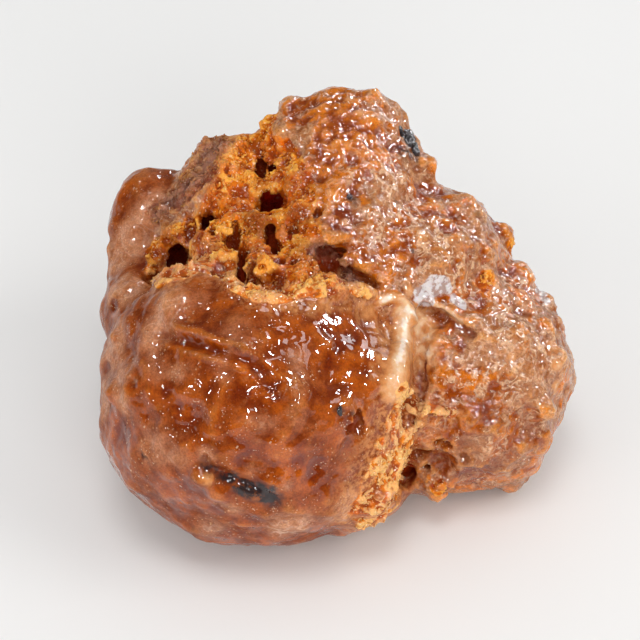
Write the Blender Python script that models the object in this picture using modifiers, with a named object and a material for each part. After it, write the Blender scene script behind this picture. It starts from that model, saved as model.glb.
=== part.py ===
"""A glazed blueberry doughnut hole, torn open along its top, as one closed solid.

The dough is a clump of lobes that swelled into each other in the fryer. Its front lobe kept a
smooth skin and the rest broke up into crags. The skin tore along the top and down the right side,
and the tears show the crumb. Sizes are in millimetres, times MM. +Z is up, and the origin is on
the surface that the piece rests on, under its middle. What shows from the front is placed on a
picture plane through the middle, as millimetres across and up, and pushed back onto the dough.
"""

import math
import random

import bmesh
import bpy
from mathutils import Euler, Matrix, Vector, noise
from mathutils.bvhtree import BVHTree

MM = 0.001
SEED = 11

# The front view: the eye looks along +Y, tilted down, at the middle of the dough
VIEW_TILT = math.radians(40)
VIEW_DISTANCE = 280 * MM
VIEW_TARGET = Vector((-1.4, 0, 16.7)) * MM
NEAREST_PERCENT = 60

# Lobes of dough: centre and radii. Those that touch the floor are cut flat by it.
LOBES = {
    "front": ((-7.1, -6.0, 12.8), (14.2, 13.0, 13.3)),
    "front_low_right": ((0.3, -8.8, 8.0), (6.8, 6.6, 6.8)),
    "left": ((-15.0, 3.2, 13.6), (6.2, 6.2, 6.2)),
    "left_back": ((-15.2, 9.4, 12.8), (6.2, 6.0, 6.6)),
    "knob": ((-16.6, 12.6, 18.0), (4.5, 4.2, 4.6)),
    "upper_left": ((-8.6, 12.4, 20.1), (6.2, 6.1, 6.3)),
    "crumb": ((-8.0, 9.0, 17.0), (8.4, 8.0, 8.2)),
    "top_left": ((-3.0, 14.0, 27.5), (3.3, 3.2, 3.0)),
    "top": ((1.2, 12.8, 26.5), (5.1, 4.9, 4.8)),
    "top_body": ((1.2, 8.4, 21.5), (7.6, 7.5, 7.7)),
    "upper_right": ((8.0, 6.2, 17.2), (7.8, 8.0, 8.1)),
    "right": ((11.3, 0.5, 10.0), (9.8, 10.0, 10.3)),
    "right_low": ((15.0, -2.4, 6.3), (5.2, 5.4, 6.2)),
    "right_front": ((9.0, -3.4, 6.0), (5.8, 5.6, 6.2)),
    "core": ((-0.5, 4.8, 15.0), (12.4, 12.0, 12.2)),
    "back": ((0.0, 10.4, 10.8), (12.6, 9.2, 11.2)),
}
SKIN_LOBES = ("front", "left", "left_back", "knob")
SKIN_EDGE = 1.6 * MM
LOBE_VOXEL = 0.75 * MM
LOBE_SMOOTHING_FACTOR = 0.5
LOBE_SMOOTHING_ROUNDS = 12

# Relief: the fried dough swells in slow waves, and its broken parts in crags
SWELL_SIZE = 6.0 * MM
SWELL_HEIGHT = 1.1 * MM
CRAG_SIZE = 2.6 * MM
CRAG_HEIGHT = 1.5 * MM
CRAG_MIDDLE = 0.5
CRAG_STEEPNESS = 3
CRAG_GRAIN_SIZE = 1.9 * MM
CRAG_GRAIN_HEIGHT = 0.9 * MM
SKIN_CRAG_SHARE = 0.15

# The tear behind the front lobe and the fold beside it, as runs seen from the front, each with
# the radius and the depth of its trench
TEARS = (
    (((-14.6, 4.2), (-12.6, 5.4), (-10.6, 5.4)), 1.6, 3.0),
    (((-10.6, 5.4), (-9.0, 4.9), (-7.2, 3.6), (-5.4, 2.6)), 1.1, 3.2),
    (((-4.6, 3.4), (-2.6, 4.4), (0.6, 4.2), (3.2, 3.6), (5.6, 2.8)), 1.3, 2.2),
    (((8.4, 0.8), (8.9, -2.4), (8.7, -5.4), (8.4, -8.0)), 1.0, 1.9),
    (((9.0, -12.4), (8.2, -14.6), (7.0, -16.2)), 1.0, 1.8),
    (((9.6, 0.2), (11.4, -0.8), (13.2, -2.2)), 0.8, 1.3),
)
TEAR_STEP = 0.8 * MM
TEAR_SPREAD = (0.75, 1.15)
TEAR_RAG = 0.35
TEAR_RAG_SIZE = 1.2 * MM

# Holes left by bubbles and torn crumb: across, up and radius, and how far in they reach
HOLES = (
    (-12.2, 5.3, 1.6, 3.4),
    (-13.4, 4.2, 1.2, 2.6),
    (-9.6, 9.7, 1.0, 2.4),
    (-10.4, 8.3, 0.9, 2.0),
    (-4.7, 10.9, 1.5, 3.8),
    (-3.3, 10.6, 0.9, 2.6),
    (-5.2, 13.3, 0.8, 1.4),
    (-6.9, 5.6, 0.9, 3.6),
    (-7.0, 3.6, 0.9, 3.6),
    (-4.2, 7.8, 0.8, 3.0),
    (-4.1, 6.2, 0.9, 3.0),
    (0.6, 5.9, 1.1, 2.2),
    (2.2, 6.4, 0.9, 1.8),
    (1.4, 4.0, 1.0, 2.0),
    (10.0, 0.2, 1.0, 2.2),
    (8.0, -7.6, 0.9, 2.6),
    (7.6, -9.1, 0.9, 2.4),
    (5.0, -8.9, 0.9, 1.2),
    (2.7, -11.3, 1.0, 1.2),
    (10.8, -12.6, 1.3, 1.8),
)
HOLE_LEAN = 0.4
HOLE_RAG = 0.2
HOLE_RAG_SIZE = 0.9 * MM

# Clumps of crumb in and beside the tears: across, up and radius
CLUMPS = (
    (-10.2, 6.4, 1.7),
    (-12.8, 8.0, 1.2),
    (-8.6, 8.0, 1.3),
    (-5.5, 5.2, 0.9),
    (-5.0, 3.9, 0.8),
    (-1.7, 4.2, 1.9),
    (0.4, 3.0, 1.2),
    (3.2, 2.4, 1.3),
    (-7.9, 14.6, 1.2),
    (8.8, -7.8, 1.0),
    (10.0, -8.4, 1.0),
    (8.6, -11.6, 1.3),
    (10.6, -15.0, 1.2),
)

# Ragged lips of crumb along the torn skin, as runs seen from the front
LIPS = (
    ((-14.2, 3.8), (-12.0, 4.6), (-9.4, 5.0), (-7.6, 3.0), (-5.2, 1.6)),
    ((-5.2, 1.6), (-1.8, 2.4), (1.8, 2.4), (5.8, 2.0), (7.6, 1.8)),
    ((7.4, 1.0), (7.0, -3.0), (7.2, -6.6), (8.2, -8.6)),
    ((8.2, -8.6), (8.2, -10.4), (6.8, -13.2), (5.8, -15.6), (4.4, -17.8)),
)
LIP_STEP = 0.9 * MM
LIP_GRAIN = 0.75 * MM
LIP_SPREAD = (0.7, 1.3)

# Bumps that stand out of the outline: across, up and radius
BUMPS = (
    (-18.4, 6.2, 0.9),
    (-10.2, 15.0, 1.0),
    (-11.6, 13.6, 1.0),
    (-4.9, 18.0, 0.9),
    (8.4, 15.8, 1.2),
    (9.6, 13.4, 1.2),
    (12.8, 10.4, 1.2),
    (16.2, 7.6, 1.2),
    (18.2, 4.2, 1.1),
    (20.0, 1.2, 1.2),
    (20.8, -3.4, 1.2),
    (20.0, -7.9, 1.2),
    (17.6, -11.2, 1.0),
    (-18.2, -1.4, 0.9),
    (-18.2, -6.4, 1.0),
)
LUMP_SPREAD = (0.8, 1.25)
LUMP_STAND = 0.25
LUMP_RAG = 0.4
LUMP_RAG_SHARE = 0.8
CRUMB_VOXEL = 0.4 * MM

# Bits of blueberry on the dough: across, up, length, width and turn in degrees
BERRIES = (
    (8.3, 15.6, 1.7, 1.0, -50),
    (-6.4, -14.8, 6.6, 1.9, -24),
    (2.4, 11.0, 1.0, 0.8, 0),
    (2.2, -8.2, 1.5, 1.0, 10),
    (14.2, 9.4, 2.0, 0.9, -60),
)

# The thick drip of glaze on the front lobe's torn edge, as seen from the front
DRIP = ((7.0, 1.2), (7.2, -1.6), (6.8, -4.4), (6.4, -7.2))
DRIP_RADIUS = 0.8 * MM
DRIP_STEP = 0.6 * MM

# The finished mesh, and its colour
FINAL_VOXEL = 0.5 * MM
TARGET_TRIANGLES = 11400
FLOOR_SIZE = 80 * MM
FOOT_ANGLE = math.radians(60)
DOUGH_COLOUR = (0.38, 0.12, 0.045, 1)
DOUGH_ROUGHNESS = 0.3


def clear_scene():
    for obj in list(bpy.data.objects):
        bpy.data.objects.remove(obj, do_unlink=True)


def new_collection(name):
    collection = bpy.data.collections.new(name)
    bpy.context.scene.collection.children.link(collection)
    return collection


def new_object(name, bm, collection):
    mesh = bpy.data.meshes.new(name)
    bm.to_mesh(mesh)
    bm.free()
    obj = bpy.data.objects.new(name, mesh)
    collection.objects.link(obj)
    return obj


def new_tool(name, bm, collection):
    """A shape that cuts the dough or is fused to it, and isn't rendered."""
    tool = new_object(name, bm, collection)
    tool.hide_render = True
    tool.display_type = "WIRE"
    return tool


def empty_out(collection):
    for obj in list(collection.objects):
        bpy.data.objects.remove(obj, do_unlink=True)


def freeze(obj):
    """Applies the object's modifiers to its mesh."""
    graph = bpy.context.evaluated_depsgraph_get()
    mesh = bpy.data.meshes.new_from_object(obj.evaluated_get(graph))
    obj.modifiers.clear()
    obj.data = mesh


def voxel_remesh(obj, size):
    remesh = obj.modifiers.new("voxel remesh", "REMESH")
    remesh.mode = "VOXEL"
    remesh.voxel_size = size
    freeze(obj)


def apply_boolean(dough, operation, tools, solver="EXACT"):
    """Cuts a collection's tools from the dough, or joins them to it, and removes them."""
    boolean = dough.modifiers.new(operation.lower(), "BOOLEAN")
    boolean.operation = operation
    boolean.solver = solver
    boolean.operand_type = "COLLECTION"
    boolean.collection = tools
    freeze(dough)
    empty_out(tools)


def add_ball(bm, centre, radii, turn=Euler(), subdivisions=2):
    """A lump of dough or crumb, an icosphere stretched to its radii."""
    place = Matrix.Translation(centre) @ turn.to_matrix().to_4x4() @ Matrix.Diagonal((*radii, 1))
    return bmesh.ops.create_icosphere(bm, subdivisions=subdivisions, radius=1, matrix=place)["verts"]


def roughen(verts, height, size):
    """Moves a lump's points in and out of its middle, so that it looks torn."""
    middle = sum((v.co for v in verts), Vector()) / len(verts)
    for v in verts:
        v.co += (v.co - middle).normalized() * height * noise.noise(v.co / size)


class Front:
    """The dough as it is seen from the front."""

    def __init__(self, dough):
        self.tree = BVHTree.FromObject(dough, bpy.context.evaluated_depsgraph_get())
        self.back = Vector((0, -math.cos(VIEW_TILT), math.sin(VIEW_TILT)))
        self.up = Vector((0, math.sin(VIEW_TILT), math.cos(VIEW_TILT)))
        self.eye = VIEW_TARGET + self.back * VIEW_DISTANCE

    def surface(self, across, up):
        """The point and the outward normal seen there, or at the nearest point inside the outline."""
        shift = Vector((across * MM, 0, 0)) + self.up * (up * MM)
        for percent in range(100, NEAREST_PERCENT, -1):
            ray = (VIEW_TARGET + shift * percent / 100 - self.eye).normalized()
            point, normal, _, _ = self.tree.ray_cast(self.eye, ray)
            if point:
                return point, normal
        raise ValueError(f"no dough at {across}, {up}")

    def along(self, run, step):
        """Points and normals on the dough along a run of picture points, a step apart."""
        for start, end in zip(run, run[1:]):
            start, end = Vector(start), Vector(end)
            count = max(1, round((end - start).length * MM / step))
            for i in range(count):
                yield self.surface(*start.lerp(end, i / count))

    def inward(self, point, normal):
        """The turn of a hole, which follows the view and leans into the dough."""
        view = (point - self.eye).normalized()
        return view.lerp(-normal, HOLE_LEAN).normalized().to_track_quat("Z", "Y").to_euler()


def build_lobes(collection):
    bm = bmesh.new()
    for centre, radii in LOBES.values():
        add_ball(bm, Vector(centre) * MM, Vector(radii) * MM, subdivisions=4)
    dough = new_object("doughnut_hole", bm, collection)
    voxel_remesh(dough, LOBE_VOXEL)
    soften = dough.modifiers.new("soften joins", "SMOOTH")
    soften.factor = LOBE_SMOOTHING_FACTOR
    soften.iterations = LOBE_SMOOTHING_ROUNDS
    freeze(dough)
    return dough


def skin_share(point):
    """1 where the dough kept its fried skin, 0 where it broke up into crags."""
    nearest = {}
    for name, (centre, radii) in LOBES.items():
        local = point / MM - Vector(centre)
        stretch = Vector((local.x / radii[0], local.y / radii[1], local.z / radii[2])).length
        nearest[name] = (stretch - 1) * min(radii) * MM
    skin = min(nearest[name] for name in SKIN_LOBES)
    crag = min(gap for name, gap in nearest.items() if name not in SKIN_LOBES)
    return min(1, max(0, 0.5 + (crag - skin) / SKIN_EDGE))


def raise_relief(dough):
    for vertex, normal in [(v, v.normal.copy()) for v in dough.data.vertices]:
        swell = SWELL_HEIGHT * noise.noise(vertex.co / SWELL_SIZE)
        near, second = noise.voronoi(vertex.co / CRAG_SIZE)[0][:2]
        rim = min(1, (second - near) * CRAG_STEEPNESS)
        crag = CRAG_HEIGHT * (CRAG_MIDDLE - near) * rim
        crag += CRAG_GRAIN_HEIGHT * noise.noise(vertex.co / CRAG_GRAIN_SIZE)
        skin = skin_share(vertex.co)
        vertex.co += normal * (swell + crag * (1 - skin + SKIN_CRAG_SHARE * skin))


def tear_open(dough, rng):
    """Cuts the trenches and the holes."""
    cutters = new_collection("cutters")
    bm = bmesh.new()
    front = Front(dough)
    for run, radius, depth in TEARS:
        for point, normal in front.along(run, TEAR_STEP):
            radii = Vector((radius, radius, depth)) * MM * rng.uniform(*TEAR_SPREAD)
            verts = add_ball(bm, point, radii, front.inward(point, normal))
            roughen(verts, TEAR_RAG * radius * MM, TEAR_RAG_SIZE)
    for across, up, radius, depth in HOLES:
        point, normal = front.surface(across, up)
        verts = add_ball(bm, point, Vector((radius, radius, depth)) * MM, front.inward(point, normal))
        roughen(verts, HOLE_RAG * radius * MM, HOLE_RAG_SIZE)
    tears = new_tool("tears", bm, cutters)
    voxel_remesh(tears, CRUMB_VOXEL)
    apply_boolean(dough, "DIFFERENCE", cutters)


def add_lump(bm, rng, point, normal, radius):
    """A clump of crumb, uneven and half sunk in the dough."""
    radii = [radius * rng.uniform(*LUMP_SPREAD) for _ in range(3)]
    turn = Euler([rng.uniform(0, math.tau) for _ in range(3)])
    verts = add_ball(bm, point + normal * LUMP_STAND * radius, radii, turn)
    roughen(verts, LUMP_RAG * radius, LUMP_RAG_SHARE * radius)


def add_berry(bm, point, normal, length, width, turn):
    """A bit of blueberry that lies along the dough."""
    lie = normal.to_track_quat("Z", "Y").to_matrix() @ Matrix.Rotation(turn, 3, "Z")
    add_ball(bm, point, Vector((length, width, width)) / 2, lie.to_euler())


def pile_crumb(dough, rng):
    """Fuses the clumps, bumps, lips, berries and the glaze drip to the dough."""
    crumbs = new_collection("crumbs")
    front = Front(dough)
    bm = bmesh.new()
    for across, up, radius in CLUMPS + BUMPS:
        add_lump(bm, rng, *front.surface(across, up), radius * MM)
    for run in LIPS:
        for point, normal in front.along(run, LIP_STEP):
            add_lump(bm, rng, point, normal, LIP_GRAIN * rng.uniform(*LIP_SPREAD))
    for across, up, length, width, turn in BERRIES:
        add_berry(bm, *front.surface(across, up), length * MM, width * MM, math.radians(turn))
    for point, _ in front.along(DRIP, DRIP_STEP):
        add_ball(bm, point, [DRIP_RADIUS] * 3)
    voxel_remesh(new_tool("crumb", bm, crumbs), CRUMB_VOXEL)
    apply_boolean(dough, "UNION", crumbs, solver="MANIFOLD")


def stand_on_foot(dough):
    """Cuts the flat on the floor that the soft dough settled to."""
    cutters = new_collection("floor")
    bm = bmesh.new()
    middle = Matrix.Translation((0, 0, -FLOOR_SIZE / 2))
    bmesh.ops.create_cube(bm, size=FLOOR_SIZE, matrix=middle)
    new_tool("floor", bm, cutters)
    apply_boolean(dough, "DIFFERENCE", cutters)


def keep_largest_body(dough):
    """Drops loose scraps, and the walls of any hollow that the fusing sealed."""
    bm = bmesh.new()
    bm.from_mesh(dough.data)
    left = set(bm.verts)
    bodies = []
    while left:
        body, edge_of_body = set(), [left.pop()]
        while edge_of_body:
            vertex = edge_of_body.pop()
            body.add(vertex)
            linked = {edge.other_vert(vertex) for edge in vertex.link_edges} & left
            left -= linked
            edge_of_body.extend(linked)
        bodies.append(body)
    largest = max(bodies, key=len)
    loose = [v for v in bm.verts if v not in largest]
    bmesh.ops.delete(bm, geom=loose, context="VERTS")
    bm.to_mesh(dough.data)
    bm.free()


def thin_out(dough):
    """Brings the mesh down to its triangle budget."""
    voxel_remesh(dough, FINAL_VOXEL)
    keep_largest_body(dough)
    dough.data.calc_loop_triangles()
    decimate = dough.modifiers.new("decimate", "DECIMATE")
    decimate.ratio = TARGET_TRIANGLES / len(dough.data.loop_triangles)
    decimate.use_collapse_triangulate = True
    freeze(dough)


def finish(dough):
    glazed = bpy.data.materials.new("glazed dough")
    glazed.use_nodes = True
    shader = glazed.node_tree.nodes["Principled BSDF"]
    shader.inputs["Base Color"].default_value = DOUGH_COLOUR
    shader.inputs["Roughness"].default_value = DOUGH_ROUGHNESS
    shader.inputs["Metallic"].default_value = 0
    dough.data.materials.append(glazed)
    dough.data.shade_smooth()
    dough.data.set_sharp_from_angle(angle=FOOT_ANGLE)


clear_scene()
rng = random.Random(SEED)
dough = build_lobes(new_collection("doughnut_hole"))
raise_relief(dough)
tear_open(dough, rng)
pile_crumb(dough, rng)
thin_out(dough)
stand_on_foot(dough)
finish(dough)
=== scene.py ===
"""A glazed blueberry doughnut hole, torn open along its top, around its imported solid.

The dough is one fine mesh in place of the solid, with its holes, crags and crumb as relief. The
loose crumb on the torn faces and the bits of blueberry are pieces of their own. Everything is in
metres, +Z up, in the solid's frame. Places on the side that the camera sees are given by column
and row in its picture of 640 by 640, and places on the other sides by the direction they face.
"""

import math
import random

import bmesh
import bpy
import numpy as np
from mathutils import Euler, Matrix, Vector, noise
from mathutils.bvhtree import BVHTree


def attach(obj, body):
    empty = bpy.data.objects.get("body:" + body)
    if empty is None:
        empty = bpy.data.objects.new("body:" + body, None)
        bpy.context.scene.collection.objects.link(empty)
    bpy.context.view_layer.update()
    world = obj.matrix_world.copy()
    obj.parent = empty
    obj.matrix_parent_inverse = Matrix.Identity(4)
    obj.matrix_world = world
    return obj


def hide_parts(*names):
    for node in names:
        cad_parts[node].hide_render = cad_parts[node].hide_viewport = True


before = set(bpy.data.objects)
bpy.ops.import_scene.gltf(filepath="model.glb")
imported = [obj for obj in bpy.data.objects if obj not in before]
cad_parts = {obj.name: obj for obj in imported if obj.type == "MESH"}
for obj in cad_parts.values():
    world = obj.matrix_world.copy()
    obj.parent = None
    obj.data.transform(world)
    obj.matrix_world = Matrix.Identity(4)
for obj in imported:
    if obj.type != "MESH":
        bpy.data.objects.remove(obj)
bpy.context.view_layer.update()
MM = 0.001

# The stage: a pale sheet under soft lamps from the right, from above and, weaker, from the left
# and low in front, and small windows and screens that show only as reflections in the glaze. The
# camera looks down 40 degrees at the middle of the piece.
view_tilt = math.radians(40)
view_distance = 280 * MM
view_target = Vector((-1.4, 0, 16.7)) * MM
view_back = Vector((0, -math.cos(view_tilt), math.sin(view_tilt)))
view_up = Vector((0, math.sin(view_tilt), math.cos(view_tilt)))
view_eye = view_target + view_back * view_distance
front_reach = -14 * MM
picture_size = 640
sensor_width = 36
lens = 176.4
pixels_per_mm = 11.2

camera_data = bpy.data.cameras.new("camera")
camera_data.sensor_width = sensor_width
camera_data.lens = lens
camera_data.clip_start = 0.01
camera = bpy.data.objects.new("camera", camera_data)
camera.location = view_eye
camera.rotation_euler = (-view_back).to_track_quat("-Z", "Y").to_euler()
bpy.context.scene.collection.objects.link(camera)
bpy.context.scene.camera = camera
bpy.context.scene.view_settings.view_transform = "Standard"


def add_lamp(name, toward, distance, size, brightness, colour, mirrored):
    """A round lamp on the side of the piece that toward gives, with the area of a square of that
    size. A mirrored one shows only as its reflection in the glaze, and the others only light."""
    lamp_data = bpy.data.lights.new(name, "AREA")
    lamp_data.shape = "DISK"
    lamp_data.size = size * 2 / math.sqrt(math.pi)
    lamp_data.energy = brightness * math.pi * size ** 2
    lamp_data.color = colour
    lamp = bpy.data.objects.new(name, lamp_data)
    toward = Vector(toward).normalized()
    lamp.location = view_target + toward * distance
    lamp.rotation_euler = toward.to_track_quat("Z", "Y").to_euler()
    lamp.visible_glossy = mirrored
    lamp.visible_diffuse = not mirrored
    bpy.context.scene.collection.objects.link(lamp)


add_lamp("right front lamp", (0.85, -0.3, 0.8), 1.2, 0.52, 3.4, (1, 0.99, 0.97), False)
add_lamp("top lamp", (-0.05, -0.3, 1.0), 1.2, 0.4, 6.5, (1, 1, 1), False)
add_lamp("left screen", (-0.8, -0.6, 0.5), 1.2, 0.7, 1.2, (1, 0.99, 0.97), False)
add_lamp("low screen", (0.25, -1, 0.3), 1.3, 0.9, 3.6, (1, 0.99, 0.98), False)
add_lamp("front window", (0.55, -0.46, 0.7), 0.6, 0.06, 110, (0.97, 0.98, 1), True)
add_lamp("right window", (0.85, 0.4, 0.5), 0.6, 0.08, 110, (0.97, 0.98, 1), True)
add_lamp("left window", (-0.5, 0.1, 0.85), 0.6, 0.06, 110, (0.97, 0.98, 1), True)
add_lamp("back window", (0.08, 0.9, 0.4), 0.6, 0.06, 70, (0.97, 0.98, 1), True)
add_lamp("middle window", (0.05, -0.45, 0.88), 0.6, 0.07, 110, (0.97, 0.98, 1), True)
add_lamp("top window", (0.15, 0.32, 0.92), 0.6, 0.05, 100, (0.97, 0.98, 1), True)
add_lamp("top screen", (0.32, -0.2, 0.92), 0.8, 0.22, 5.5, (0.98, 0.97, 0.98), True)
add_lamp("low window", (-0.8, -0.5, 0.4), 0.6, 0.05, 100, (0.97, 0.98, 1), True)
add_lamp("right screen", (0.62, 0.66, 0.42), 0.8, 0.3, 5, (0.97, 0.98, 1), True)

sky = bpy.data.worlds.new("sky")
sky.use_nodes = True
sky_tree = sky.node_tree
sky_rays = sky_tree.nodes.new("ShaderNodeLightPath")
sky_lights = [sky_tree.nodes["Background"]]
for brightness, ray in ((0.87, "Is Camera Ray"), (0.06, "Is Glossy Ray")):
    seen = sky_tree.nodes.new("ShaderNodeBackground")
    seen.inputs["Color"].default_value = (brightness, brightness, brightness, 1)
    mix = sky_tree.nodes.new("ShaderNodeMixShader")
    sky_tree.links.new(sky_rays.outputs[ray], mix.inputs["Fac"])
    sky_tree.links.new(sky_lights[-1].outputs[0], mix.inputs[1])
    sky_tree.links.new(seen.outputs["Background"], mix.inputs[2])
    sky_lights.append(mix)
sky_tree.links.new(sky_lights[-1].outputs[0], sky_tree.nodes["World Output"].inputs["Surface"])
sky_tree.nodes["Background"].inputs["Color"].default_value = (1, 1, 1, 1)
sky_tree.nodes["Background"].inputs["Strength"].default_value = 0.56
bpy.context.scene.world = sky


def new_material(name, finish):
    """A material whose shader has these values."""
    material = bpy.data.materials.new(name)
    material.use_nodes = True
    for key, value in finish.items():
        material.node_tree.nodes["Principled BSDF"].inputs[key].default_value = value
    return material


bm = bmesh.new()
bmesh.ops.create_grid(bm, x_segments=1, y_segments=1, size=1.5)
floor_mesh = bpy.data.meshes.new("floor")
bm.to_mesh(floor_mesh)
bm.free()
floor = bpy.data.objects.new("floor", floor_mesh)
bpy.context.scene.collection.objects.link(floor)
floor_finish = {"Base Color": (0.84, 0.84, 0.835, 1), "Roughness": 0.6, "Specular IOR Level": 0.05}
floor_mesh.materials.append(new_material("pale floor", floor_finish))

# The dough: cake that was fried as one clump of lobes. The front and left lobes kept a smooth
# skin. The rest broke up into crags, and the top tore open, so that the crumb shows. It replaces
# the solid, and its finer relief starts from the solid's own form.
smooth_lobes = (
    ((-7.1, -6.0, 12.8), (14.2, 13.0, 13.3)),
    ((-15.0, 3.2, 13.6), (6.2, 6.2, 6.2)),
    ((-15.2, 9.4, 12.8), (6.2, 6.0, 6.6)),
    ((-16.6, 12.6, 18.0), (4.5, 4.2, 4.6)),
    ((0.3, -8.8, 8.0), (6.8, 6.6, 6.8)),
)
crag_lobes = (
    ((-8.6, 12.4, 20.1), (6.2, 6.1, 6.3)),
    ((-8.0, 9.0, 17.0), (8.4, 8.0, 8.2)),
    ((-3.0, 14.0, 27.5), (3.3, 3.2, 3.0)),
    ((1.2, 12.8, 26.5), (5.1, 4.9, 4.8)),
    ((1.2, 8.4, 21.5), (7.6, 7.5, 7.7)),
    ((8.0, 6.2, 17.2), (7.8, 8.0, 8.1)),
    ((11.3, 0.5, 10.0), (9.8, 10.0, 10.3)),
    ((15.0, -2.4, 6.3), (5.2, 5.4, 6.2)),
    ((9.0, -3.4, 6.0), (5.8, 5.6, 6.2)),
    ((-0.5, 4.8, 15.0), (12.4, 12.0, 12.2)),
    ((0.0, 10.4, 10.8), (12.6, 9.2, 11.2)),
)
middle = Vector((0, 0, 14)) * MM
bm = bmesh.new()
bm.from_mesh(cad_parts["doughnut_hole"].data)
bmesh.ops.remove_doubles(bm, verts=bm.verts, dist=0.001 * MM)
solid_tree = BVHTree.FromBMesh(bm)


def seen_at(column, row, tree=solid_tree):
    """The point and the outward normal that the camera sees at a place in its picture. A place
    just off the piece moves towards the picture's middle until it is on it."""
    across = (column / picture_size - 0.5) * sensor_width / lens
    up = (0.5 - row / picture_size) * sensor_width / lens
    for percent in range(100, 60, -1):
        ray = (Vector((across, 0, 0)) + view_up * up) * percent / 100 - view_back
        point, normal, _, _ = tree.ray_cast(view_eye, ray.normalized())
        if point:
            return point, normal
    raise ValueError(f"nothing is seen at {column}, {row}")


def met_from(azimuth, elevation, tree=solid_tree):
    """The point and the outward normal that face a direction, in degrees. The camera is at 0."""
    flat, rise = math.radians(azimuth), math.radians(elevation)
    away = Vector((math.sin(flat) * math.cos(rise), -math.cos(flat) * math.cos(rise), math.sin(rise)))
    point, normal, _, _ = tree.ray_cast(middle + away * 0.1, -away)
    return point, normal


def mesh_object(name, bm):
    mesh = bpy.data.meshes.new(name)
    bm.to_mesh(mesh)
    bm.free()
    piece = bpy.data.objects.new(name, mesh)
    bpy.context.scene.collection.objects.link(piece)
    return piece


def settle(piece):
    """Applies a piece's modifiers to its mesh."""
    graph = bpy.context.evaluated_depsgraph_get()
    mesh = bpy.data.meshes.new_from_object(piece.evaluated_get(graph))
    piece.modifiers.clear()
    piece.data = mesh


def remesh(piece, size):
    voxels = piece.modifiers.new("voxels", "REMESH")
    voxels.mode = "VOXEL"
    voxels.voxel_size = size
    settle(piece)


def soften(piece, rounds):
    smooth = piece.modifiers.new("soften", "SMOOTH")
    smooth.factor = 0.5
    smooth.iterations = rounds
    settle(piece)


def thin_out(piece, most):
    """Leaves a piece's mesh no more triangles than most."""
    faces_now = sum(len(face.vertices) - 2 for face in piece.data.polygons)
    thin = piece.modifiers.new("thin", "DECIMATE")
    thin.ratio = min(1, most / faces_now)
    settle(piece)


def drop_scraps(piece, least):
    """Deletes the loose parts of a piece's mesh that have fewer points than least."""
    bm = bmesh.new()
    bm.from_mesh(piece.data)
    reached, scraps = set(), []
    for start in bm.verts:
        if start in reached:
            continue
        reached.add(start)
        part, waiting = [], [start]
        while waiting:
            vert = waiting.pop()
            part.append(vert)
            others = [edge.other_vert(vert) for edge in vert.link_edges]
            waiting += [other for other in others if other not in reached]
            reached.update(others)
        if len(part) < least:
            scraps += part
    bmesh.ops.delete(bm, geom=scraps, context="VERTS")
    bm.to_mesh(piece.data)
    bm.free()


class Heap:
    """Many uneven balls that become one mesh."""

    def __init__(self):
        self.points, self.faces, self.balls, self.count = [], [], {}, 0

    def ball(self, subdivisions):
        if subdivisions not in self.balls:
            bm = bmesh.new()
            bmesh.ops.create_icosphere(bm, subdivisions=subdivisions, radius=1)
            points = np.array([vert.co for vert in bm.verts])
            self.balls[subdivisions] = points, np.array([[v.index for v in face.verts] for face in bm.faces])
            bm.free()
        return self.balls[subdivisions]

    def add(self, centre, radii, turn=Euler(), subdivisions=2, rag=0.0, rag_size=MM):
        """Rag is how far a ball's points move in and out."""
        away, faces = self.ball(subdivisions)
        placed = away * np.array(radii) @ np.array(turn.to_matrix()).T + np.array(centre)
        if rag:
            shifts = np.array([noise.noise(p) for p in (placed / rag_size).tolist()])
            placed += (placed - np.array(centre)) * (rag * shifts / np.mean(radii))[:, None]
        self.points.append(placed)
        self.faces.append(faces + self.count)
        self.count += len(placed)

    def add_crumb(self, centre, size, turn):
        """A ragged crumb, whose longest radius is size."""
        self.add(centre, Vector((1, 0.8, 0.7)) * size, turn, 2, rag=0.5 * size, rag_size=0.4 * MM)

    def mesh(self, name):
        mesh = bpy.data.meshes.new(name)
        mesh.from_pydata(np.concatenate(self.points).tolist(), [], np.concatenate(self.faces).tolist())
        return mesh

    def piece(self, name):
        piece = bpy.data.objects.new(name, self.mesh(name))
        bpy.context.scene.collection.objects.link(piece)
        return piece


dough = mesh_object("fried_dough", bm)
remesh(dough, 0.42 * MM)
soften(dough, 6)


def points_of(mesh):
    flat = np.empty(len(mesh.vertices) * 3, np.float32)
    mesh.vertices.foreach_get("co", flat)
    return flat.reshape(-1, 3).astype(float)


def normals_of(mesh):
    flat = np.empty(len(mesh.vertices) * 3, np.float32)
    mesh.vertex_normals.foreach_get("vector", flat)
    return flat.reshape(-1, 3).astype(float)


def ramp(values, low, high):
    """0 below low, 1 above high, and a smooth rise between."""
    t = np.clip((values - low) / (high - low), 0, 1)
    return t * t * (3 - 2 * t)


def waves(points, size, stretch=(1, 1, 1)):
    """Smooth noise from -1 to 1, with features of that size."""
    scaled = points / (size * np.array(stretch))
    return np.array([noise.noise(p) for p in scaled.tolist()])


def cells(points, size):
    """Distances to the nearest and the second nearest of points scattered that far apart."""
    found = [noise.voronoi(p)[0][:2] for p in (points / size).tolist()]
    return np.array(found).T


def lobe_gap(points, lobes):
    """How far outside the nearest of these lobes each point is, in metres."""
    gaps = []
    for centre, radii in lobes:
        stretch = np.linalg.norm((points / MM - centre) / np.array(radii), axis=1)
        gaps.append((stretch - 1) * min(radii) * MM)
    return np.min(gaps, axis=0)


def bell(gap, radius):
    """1 in the middle, 0 from radius on."""
    return np.clip(1 - (gap / radius) ** 2, 0, 1) ** 2


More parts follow.
